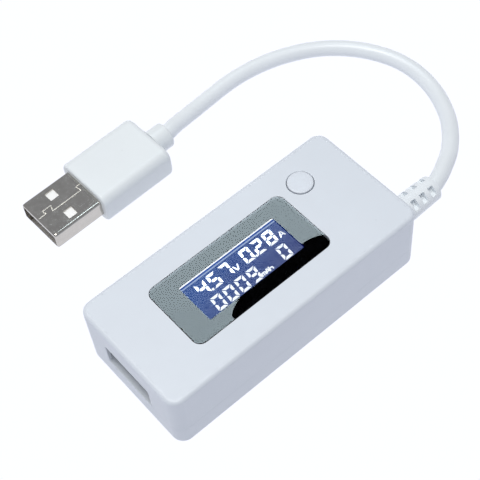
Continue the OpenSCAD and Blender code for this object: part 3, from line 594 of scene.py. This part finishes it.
upperPiece, lowerPiece = makeUpperCase(), makeLowerCase()
windowPiece, buttonPiece, domePiece = makeWindow(), makeButton(), makeDome()


# ---- materials

def startMaterial(name, sockets):
    # A material with one main shader, whose even values are set on its own sockets.
    material = bpy.data.materials.new(name)
    material.use_nodes = True
    shader = material.node_tree.nodes["Principled BSDF"]
    for socket, value in sockets.items():
        shader.inputs[socket].default_value = value
    return material, material.node_tree, shader


def noiseOn(tree, scale, detail=2.0, stretch=(1, 1, 1), turn=0.0):
    # Noise on the piece's own coordinates, in metres, with an optional stretch and turn about z.
    place, mapping, noise = (tree.nodes.new("ShaderNode" + kind) for kind in ("TexCoord", "Mapping", "TexNoise"))
    mapping.inputs["Scale"].default_value = stretch
    mapping.inputs["Rotation"].default_value = (0, 0, turn)
    noise.inputs["Scale"].default_value, noise.inputs["Detail"].default_value = scale, detail
    tree.links.new(place.outputs["Object"], mapping.inputs["Vector"])
    tree.links.new(mapping.outputs["Vector"], noise.inputs["Vector"])
    return noise.outputs["Fac"]


def remap(tree, value, low, high, start=0.3, end=0.7):
    # A value taken from one range to another and held there.
    node = tree.nodes.new("ShaderNodeMapRange")
    for socket, number in (("From Min", start), ("From Max", end), ("To Min", low), ("To Max", high)):
        node.inputs[socket].default_value = number
    tree.links.new(value, node.inputs["Value"])
    return node.outputs["Result"]


def feed(tree, socket, value):
    # A socket takes another node's output, or a number or a colour of its own.
    if isinstance(value, bpy.types.NodeSocket):
        tree.links.new(value, socket)
    else:
        socket.default_value = (*value, 1) if isinstance(value, tuple) and len(value) == 3 else value


def mixed(tree, share, a, b):
    # Two colours mixed by a share
    node = tree.nodes.new("ShaderNodeMix")
    node.data_type = "RGBA"
    for socket, value in ((node.inputs[0], share), (node.inputs[6], a), (node.inputs[7], b)):
        feed(tree, socket, value)
    return node.outputs[2]


def worked(tree, operation, *terms):
    # One step of arithmetic on two or three terms
    node = tree.nodes.new("ShaderNodeMath")
    node.operation = operation
    for socket, value in zip(node.inputs, terms):
        feed(tree, socket, value)
    return node.outputs[0]


def placeOn(tree):
    # The piece's own X, Y and Z, in metres
    place, split = tree.nodes.new("ShaderNodeTexCoord"), tree.nodes.new("ShaderNodeSeparateXYZ")
    tree.links.new(place.outputs["Object"], split.inputs[0])
    return split.outputs


def bumpFrom(tree, shader, height, distance, strength=1.0, under=None):
    # A bump of a real height in metres.
    node = tree.nodes.new("ShaderNodeBump")
    node.inputs["Distance"].default_value, node.inputs["Strength"].default_value = distance, strength
    tree.links.new(height, node.inputs["Height"])
    if under:
        tree.links.new(under, node.inputs["Normal"])
    tree.links.new(node.outputs["Normal"], shader.inputs["Normal"])
    return node.outputs["Normal"]


def darker(colour, by):  # each channel times a share
    return tuple(c * by for c in colour)


def moulded(name, colour, look):
    # Moulded plastic: soft clouding in the colour, a few specks, uneven satin and a fine spark-eroded grain.
    sockets = {"IOR": look.get("ior", 1.49), "Subsurface Weight": look.get("soft", 0)}
    material, tree, shader = startMaterial(name, sockets)
    cloud = remap(tree, noiseOn(tree, look.get("cloud", 90)), 0, 1)
    body = mixed(tree, cloud, darker(colour, 0.965), colour)
    cells, place = tree.nodes.new("ShaderNodeTexVoronoi"), tree.nodes.new("ShaderNodeTexCoord")
    cells.inputs["Scale"].default_value = look.get("cells", 180)
    tree.links.new(place.outputs["Object"], cells.inputs["Vector"])
    speck = remap(tree, cells.outputs["Distance"], look.get("speck", 0.25), 0, 0.012, 0.034)
    body = mixed(tree, speck, body, darker(colour, 0.55))
    tree.links.new(body, shader.inputs["Base Color"])
    rough = look["rough"]
    tree.links.new(remap(tree, noiseOn(tree, 420, 3), rough - 0.04, rough + 0.05), shader.inputs["Roughness"])
    wave = bumpFrom(tree, shader, noiseOn(tree, 160, 1), look.get("wave", 0.00002), 0.35)
    bumpFrom(tree, shader, noiseOn(tree, 3600), look.get("grain", 0.000012), 0.5, wave)
    return material


def sheetMetal(name, colour, look):
    # Plated sheet: streaks along the way it was rolled, dull mottling, and roughness that follows both.
    material, tree, shader = startMaterial(name, {"Metallic": 1.0, "Anisotropic": look.get("anisotropy", 0.3)})
    streak = noiseOn(tree, 2200, 3, look.get("stretch", (0.06, 1, 1)))
    blotch = noiseOn(tree, look.get("blotchScale", 700), 4)
    tint = mixed(tree, remap(tree, blotch, 0, 1, 0.35, 0.65), darker(colour, look.get("dip", 0.84)), colour)
    tint = mixed(tree, remap(tree, streak, 0, 0.5), tint, darker(colour, 0.93))
    if "paintedShadeFrom" in look:
        # Painted shade: past a set depth into the mouth the sheet is painted nearly black, standing in for the shadow
        # inside the socket
        paintedShadeShare = remap(tree, placeOn(tree)["X"], 0, 1, look["paintedShadeFrom"], look["paintedShadeFrom"] + 0.0012)
        tint = mixed(tree, paintedShadeShare, tint, darker(colour, 0.12))
    rough = look["rough"]
    even = remap(tree, blotch, rough * 0.8, rough * 1.35, 0.35, 0.68)
    if look.get("seamHighlight"):
        # Painted highlight: the seam's sloping faces are painted pale, standing in for the light their edges catch;
        # they are also made rougher
        cut = tree.nodes.new("ShaderNodeAttribute")
        cut.attribute_name = "cutEdge"
        tint = mixed(tree, cut.outputs["Fac"], tint, look["seamHighlight"])
        even = worked(tree, "MULTIPLY_ADD", cut.outputs["Fac"], 0.35, even)
    tree.links.new(tint, shader.inputs["Base Color"])
    tree.links.new(even, shader.inputs["Roughness"])
    bumpFrom(tree, shader, streak, look.get("height", 0.000004), 0.4)
    return material


def farFrom(tree, middle, half, soft):
    # 0 inside an upright box and 1 outside: the larger of the distances past its sides, across a soft edge, in metres.
    place, past = placeOn(tree), []
    for axis, centre, reach in zip("XY", middle, half):
        aside = worked(tree, "ABSOLUTE", worked(tree, "SUBTRACT", place[axis], centre))
        past.append(worked(tree, "SUBTRACT", aside, reach))
    return remap(tree, worked(tree, "MAXIMUM", *past), 0, 1, -soft, soft)


def clearSheet(name, colour, look):
    # Clear sheet with a faint unevenness in its polish, and on some a gloss coat on the top face outside a plain patch.
    own = ("rough", "smear", "plainPatch")
    material, tree, shader = startMaterial(name, {k: v for k, v in look.items() if k not in own})
    if "plainPatch" in look:
        middle, half, face = look["plainPatch"]
        onTop = remap(tree, placeOn(tree)["Z"], 0, 1, face - 0.00005, face)
        coat = worked(tree, "MULTIPLY", farFrom(tree, middle, half, 0.00004), onTop)
        tree.links.new(coat, shader.inputs["Coat Weight"])
    smear = look.get("smear", 0.01)
    haze = noiseOn(tree, 260, 2, (1, 0.4, 1), 0.5)
    tree.links.new(mixed(tree, remap(tree, haze, 0, 1), colour, darker(colour, 0.97)), shader.inputs["Base Color"])
    tree.links.new(remap(tree, haze, look["rough"], look["rough"] + smear), shader.inputs["Roughness"])
    return material


def printedInk(name, colour, look):
    # Ink on the back of the window: an even black with a faint cloud in its tone and polish.
    material, tree, shader = startMaterial(name, {"Specular IOR Level": look["gloss"], "IOR": 1.5})
    tone = mixed(tree, remap(tree, noiseOn(tree, 500), 0, 1), colour, darker(colour, 0.8))
    tree.links.new(tone, shader.inputs["Base Color"])
    tree.links.new(remap(tree, noiseOn(tree, 350), look["rough"], look["rough"] + 0.01), shader.inputs["Roughness"])
    return material


def litFilm(name, look):
    # The display's lit background: pale at the far left corner and deep at the near right, with soft clouds.
    material, tree, shader = startMaterial(name, {
        "Roughness": 0.5, "Specular IOR Level": 0.03, "Emission Strength": look["strength"]})
    place, cloud = placeOn(tree), look["cloud"]
    along = remap(tree, place["X"], 0, 1, look["left"], look["right"])
    down = remap(tree, place["Y"], 1, 0, look["near"], look["far"])
    slope = worked(tree, "MULTIPLY_ADD", along, 0.5, worked(tree, "MULTIPLY", down, 0.5))
    clouded = worked(tree, "MULTIPLY_ADD", noiseOn(tree, 150), cloud, slope)
    share = remap(tree, clouded, 0, 1, 0.1 + cloud / 2, 0.9 + cloud / 2)
    tone = mixed(tree, share, look["pale"], look["deep"])
    tree.links.new(tone, shader.inputs["Emission Color"])
    tree.links.new(mixed(tree, 0.9, tone, (0.001, 0.004, 0.02)), shader.inputs["Base Color"])
    return material


def litPlastic(name, colour, glow, strength, above=None):
    # White plastic or film that the backlight shines through, a little uneven. Below a given height it is painted dim
    # blue: painted shade with blue light from the display, in place of its glow.
    material, tree, shader = startMaterial(name, {
        "Roughness": 0.5, "Specular IOR Level": 0.03, "Emission Strength": strength})
    cloud = remap(tree, noiseOn(tree, 900), 0, 1)
    light = mixed(tree, cloud, darker(glow, 0.93), glow)
    # Painted light: below the height both the glow and the colour turn dim blue, standing in for shade and the
    # display's blue light on the frame's sides
    if above:
        up = remap(tree, placeOn(tree)["Z"], 0, 1, above, above + 0.00003)
        light = mixed(tree, up, (0.03, 0.08, 0.28), light)
        colour = mixed(tree, up, (0.03, 0.07, 0.25), colour)
    else:
        colour = mixed(tree, cloud, darker(colour, 0.95), colour)
    tree.links.new(light, shader.inputs["Emission Color"])
    tree.links.new(colour, shader.inputs["Base Color"])
    return material


def solderMask(name, look):
    # Green board: copper runs under the mask as raised lighter lines, over a faint glass weave.
    material, tree, shader = startMaterial(name, {"Coat Weight": 0.5, "Coat Roughness": 0.12})
    place, bricks = tree.nodes.new("ShaderNodeTexCoord"), tree.nodes.new("ShaderNodeTexBrick")
    tree.links.new(place.outputs["Object"], bricks.inputs["Vector"])
    for socket, value in (("Scale", 300), ("Mortar Size", 0.03), ("Brick Width", 1.4), ("Row Height", 0.45),
                          ("Color1", (0, 0, 0, 1)), ("Color2", (0, 0, 0, 1)), ("Mortar", (1, 1, 1, 1))):
        bricks.inputs[socket].default_value = value
    copper = remap(tree, bricks.outputs["Fac"], 0, 1, 0, 1)
    cloud = remap(tree, noiseOn(tree, 300), 0, 1)
    ground = mixed(tree, cloud, look["ground"], darker(look["ground"], 0.75))
    tree.links.new(mixed(tree, copper, ground, look["run"]), shader.inputs["Base Color"])
    tree.links.new(remap(tree, noiseOn(tree, 900), 0.28, 0.4), shader.inputs["Roughness"])
    bumpFrom(tree, shader, copper, 0.00003, 0.5)
    return material


def buildMaterials():
    # One material for each finish that the record names
    made = {
        "case_white": moulded("satinCase", (0.65, 0.692, 0.75), {"rough": 0.42, "cloud": 45}),
        "button_white": moulded("satinButton", (0.66, 0.70, 0.76), {"rough": 0.36, "speck": 0.1}),
        "grip_white": moulded("softGrip", (0.75, 0.79, 0.81), {"rough": 0.4, "cloud": 60, "ior": 1.5}),
        "lead_white": moulded("vinylJacket", (0.77, 0.81, 0.84), {"rough": 0.34, "cloud": 120, "speck": 0.12,
                                                                  "wave": 0.00004, "grain": 0.000004}),
        "insulator_white": moulded("contactBlock", (0.9, 0.9, 0.89), {"rough": 0.38, "cells": 300, "speck": 0.1}),
        # The display frame is no lamp: its white glow is painted light standing in for backlight spilling onto it, and
        # below its top it is painted dim blue shade
        "frame_white": litPlastic("displayFrame", (0.85, 0.88, 0.92), (0.95, 0.98, 1.0), 0.95, 0.0151),
        "window_acrylic": clearSheet("windowAcrylic", (0.97, 0.98, 0.98), {
            "rough": 0.0, "smear": 0.004, "Transmission Weight": 1.0, "IOR": 1.02,
            "Coat IOR": 1.5, "Coat Roughness": 0.01,
            "plainPatch": ((-0.002475, -0.00011), (0.01203, 0.004755), 0.01615)}),
        "mask_black": printedInk("maskInk", (0.004, 0.004, 0.005), {"gloss": 0.0, "rough": 0.3}),
        "polarizer_film": clearSheet("polarizerFilm", (0.05, 0.07, 0.16), {"rough": 0.05, "Alpha": 0.04, "IOR": 1.45}),
        "lcd_glass": clearSheet("displayGlass", (0.1, 0.2, 0.4), {"rough": 0.02, "Alpha": 0.02, "IOR": 1.52}),
        "segment_white": litPlastic("litSegments", (0.95, 0.98, 1.0), (0.93, 0.98, 1.0), 1.0),
        "lcd_blue": litFilm("litBlueFilm", {"strength": 1.0, "left": -0.0135, "right": 0.009, "near": -0.0046,
                                            "far": 0.005, "cloud": 0.35,
                                            "pale": (0.0, 0.045, 0.24), "deep": (0.0, 0.004, 0.12)}),
        "diffuser_film": litPlastic("diffuserFilm", (0.9, 0.93, 0.97), (0.6, 0.75, 1.0), 0.6),
        "guide_acrylic": clearSheet("lightGuide", (0.86, 0.93, 1.0), {"rough": 0.08, "Alpha": 0.5, "IOR": 1.49}),
        "led_yellow": moulded("lampPhosphor", (0.85, 0.72, 0.22), {"rough": 0.3, "cells": 600}),
        "tinned_pin": sheetMetal("tinnedPin", (0.68, 0.68, 0.66), {"rough": 0.28}),
        "board_green": solderMask("solderMask", {"ground": (0.012, 0.12, 0.045), "run": (0.03, 0.22, 0.08)}),
        # The socket's sheet is painted nearly black deep in its mouth: painted shade
        "plated_steel": sheetMetal("platedSocket", (0.62, 0.60, 0.55), {"rough": 0.22, "paintedShadeFrom": -0.0302}),
        # The plug's seam is painted pale along its sloping faces: a painted highlight
        "plug_steel": sheetMetal("platedPlug", (0.58, 0.555, 0.51), {
            "rough": 0.11, "blotchScale": 900, "dip": 0.93, "height": 0.0000003, "anisotropy": 0.0,
            "seamHighlight": (0.95, 0.93, 0.88)}),
        "gold_contact": sheetMetal("goldContact", (0.83, 0.6, 0.22), {"rough": 0.2}),
        "chip_black": moulded("chipEpoxy", (0.02, 0.02, 0.022), {"rough": 0.55, "cells": 500}),
        "resistor_black": moulded("resistorGlaze", (0.015, 0.015, 0.018), {"rough": 0.3, "cells": 500}),
        "ceramic_tan": moulded("capacitorCeramic", (0.4, 0.26, 0.13), {"rough": 0.5, "cells": 500}),
        "solder_grey": sheetMetal("solder", (0.72, 0.72, 0.72), {"rough": 0.24, "stretch": (1, 1, 1)}),
        "can_steel": sheetMetal("pressedCan", (0.66, 0.66, 0.66), {"rough": 0.25}),
        "switch_black": moulded("switchBody", (0.02, 0.02, 0.022), {"rough": 0.45, "cells": 500}),
        "spring_steel": sheetMetal("springSteel", (0.62, 0.61, 0.59), {"rough": 0.2}),
        "core_clear": moulded("mouldedCore", (0.72, 0.74, 0.72), {"rough": 0.35, "cells": 300, "soft": 0.2}),
        "wire_red": moulded("wireRed", (0.5, 0.02, 0.02), {"rough": 0.35, "cells": 400}),
        "wire_white": moulded("wireWhite", (0.8, 0.8, 0.8), {"rough": 0.35, "cells": 400}),
        "wire_green": moulded("wireGreen", (0.03, 0.28, 0.08), {"rough": 0.35, "cells": 400}),
        "wire_black": moulded("wireBlack", (0.02, 0.02, 0.02), {"rough": 0.35, "cells": 400}),
    }
    print(f"materials: {len(made)}")
    return made


def dress(piece, material):
    # The material takes the piece's slots, or the first one is made.
    if not piece.material_slots:
        piece.data.materials.append(material)
    for holder in piece.material_slots:
        holder.material = material


materials = buildMaterials()
for part in frame["record"]["subparts"]:
    dress(frame["nodes"][part["node"]], materials[part["material_slot"]])
for piece in (leadPiece, reliefPiece, gripPiece, shellPiece, upperPiece, lowerPiece, windowPiece, buttonPiece,
              domePiece):
    dress(piece, materials[piece["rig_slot"]])


# ---- studio

studio = {
    "sky": (0.34, 0.35, 0.38),
    "floorGlow": (0.99, 1.01, 1.1),
    "keyPlace": (-0.1, 0.12, 0.9), "keySize": (0.35, 0.6), "keyPower": 6.4, "keyTint": (1.0, 1.0, 0.98),
    # Panel and card: reach in x, reach in y, height, in metres
    "panel": ((0.125, 0.33), (0.24, 0.36), 0.6), "panelTint": (0.84, 1.03, 1.12), "panelGlow": 6.9,
    "darkCard": ((0.1795, 0.29), (0.14, 0.2935), 0.596),
    "floorReach": 3.0,
}


def cardMaterial(name, glow, strength):
    # Glow alone, with nothing reflected
    material, _, _ = startMaterial(name, {"Base Color": (0, 0, 0, 1), "Roughness": 1.0, "Specular IOR Level": 0.0,
                                          "Emission Color": (*glow, 1), "Emission Strength": strength})
    return material


def stageCard(name, points, material, hiddenFrom=()):
    # A flat card of the studio, which the named kinds of ray pass by
    mesh = bpy.data.meshes.new(name)
    mesh.from_pydata(points, [], [list(range(len(points)))])
    card = bpy.data.objects.new(name, mesh)
    bpy.context.scene.collection.objects.link(card)
    card.data.materials.append(material)
    for ray in hiddenFrom:
        setattr(card, "visible_" + ray, False)


def makeStudio():
    # A glowing floor and sky, a lamp above, and a panel with a dark card before it that the window mirrors.
    wide = studio["floorReach"]
    stageCard("floor", [(-wide, -wide, 0), (wide, -wide, 0), (wide, wide, 0), (-wide, wide, 0)],
              cardMaterial("paleFloor", studio["floorGlow"], 1.0))
    (left, right), (near, far), z = studio["panel"]
    stageCard("softPanel", [(left, near, z), (right, near, z), (right, far, z), (left, far, z)],
              cardMaterial("panelGlow", studio["panelTint"], studio["panelGlow"]),
              ("camera", "diffuse", "shadow", "transmission"))
    # The dark card's far edge falls away exponentially towards both of its ends
    (left, right), (near, far), z = studio["darkCard"]
    x = np.linspace(left, right, 48)
    y = far - 0.0125 * np.exp(-(x - left - 0.0005) / 0.014) - 0.014 * np.exp((x - right + 0.0025) / 0.0075)
    edge = np.stack([x, y, np.full(48, z)], -1).tolist()
    stageCard("darkCard", edge + [(right, near, z), (left, near, z)], cardMaterial("darkCard", (0, 0, 0), 0),
              ("camera", "diffuse", "shadow"))
    lamp = bpy.data.lights.new("keyLight", "AREA")
    lamp.shape, lamp.energy, lamp.color = "RECTANGLE", studio["keyPower"], studio["keyTint"]
    lamp.size, lamp.size_y = studio["keySize"]
    light = bpy.data.objects.new("keyLight", lamp)
    bpy.context.scene.collection.objects.link(light)
    light.location = studio["keyPlace"]
    light.visible_camera = light.visible_transmission = False
    world = bpy.data.worlds.new("sky")
    world.use_nodes = True
    world.node_tree.nodes["Background"].inputs["Color"].default_value = (*studio["sky"], 1)
    bpy.context.scene.world = world
    bpy.context.scene.view_settings.view_transform = "Standard"
    print("studio lit")


makeStudio()
